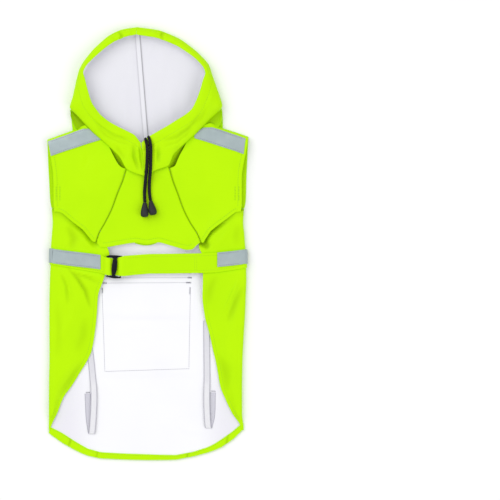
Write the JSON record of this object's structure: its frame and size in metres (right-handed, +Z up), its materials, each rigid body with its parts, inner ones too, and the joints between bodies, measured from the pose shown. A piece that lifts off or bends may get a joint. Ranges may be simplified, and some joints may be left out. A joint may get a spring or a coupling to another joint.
{
  "type": "dog raincoat",
  "caption": "Hooded dog raincoat laid on its back, belly side up: chest front, side wraps, belly belt with slider, leg straps, drawstring and reflective tapes.",
  "frame": {"origin": "middle of the resting outline, on the surface that the coat lies on", "axes": "+Y from hem to hood along the back, +X to the right when the belly side is seen from above, +Z up out of the belly side"},
  "size_m": [0.282, 0.608, 0.0236],
  "materials": {
    "shell": "neon yellow-green coated polyester, soft satin, white inside",
    "lining": "white tape, matt",
    "reflective": "blue-grey reflective tape, satin",
    "elastic": "white ribbed elastic",
    "cord": "black braided cord",
    "black_plastic": "black moulded plastic"
  },
  "bodies": {
    "root": {"back_panel": "shell", "side_wrap_left": "shell", "side_wrap_right": "shell", "hem_facing": "shell", "front_left": "shell", "front_right": "shell", "chest_panel": "shell", "chest_elastic": "shell", "hood_left": "shell", "hood_right": "shell", "hood_rim_left": "shell", "hood_rim_right": "shell", "hood_seam_tape": "lining", "pocket_patch": "shell", "pocket_flap": "shell", "back_tape": "reflective", "shoulder_tape_left": "reflective", "shoulder_tape_right": "reflective", "belt_band_left": "shell", "belt_strap": "shell", "belt_tape_left": "reflective", "belt_tape_right": "reflective", "belt_buckle": "black_plastic", "leg_strap_left": "elastic", "leg_strap_right": "elastic", "drawstring_left": "cord", "drawstring_right": "cord", "cord_end_left": "black_plastic", "cord_end_right": "black_plastic"}
  },
  "joints": []
}
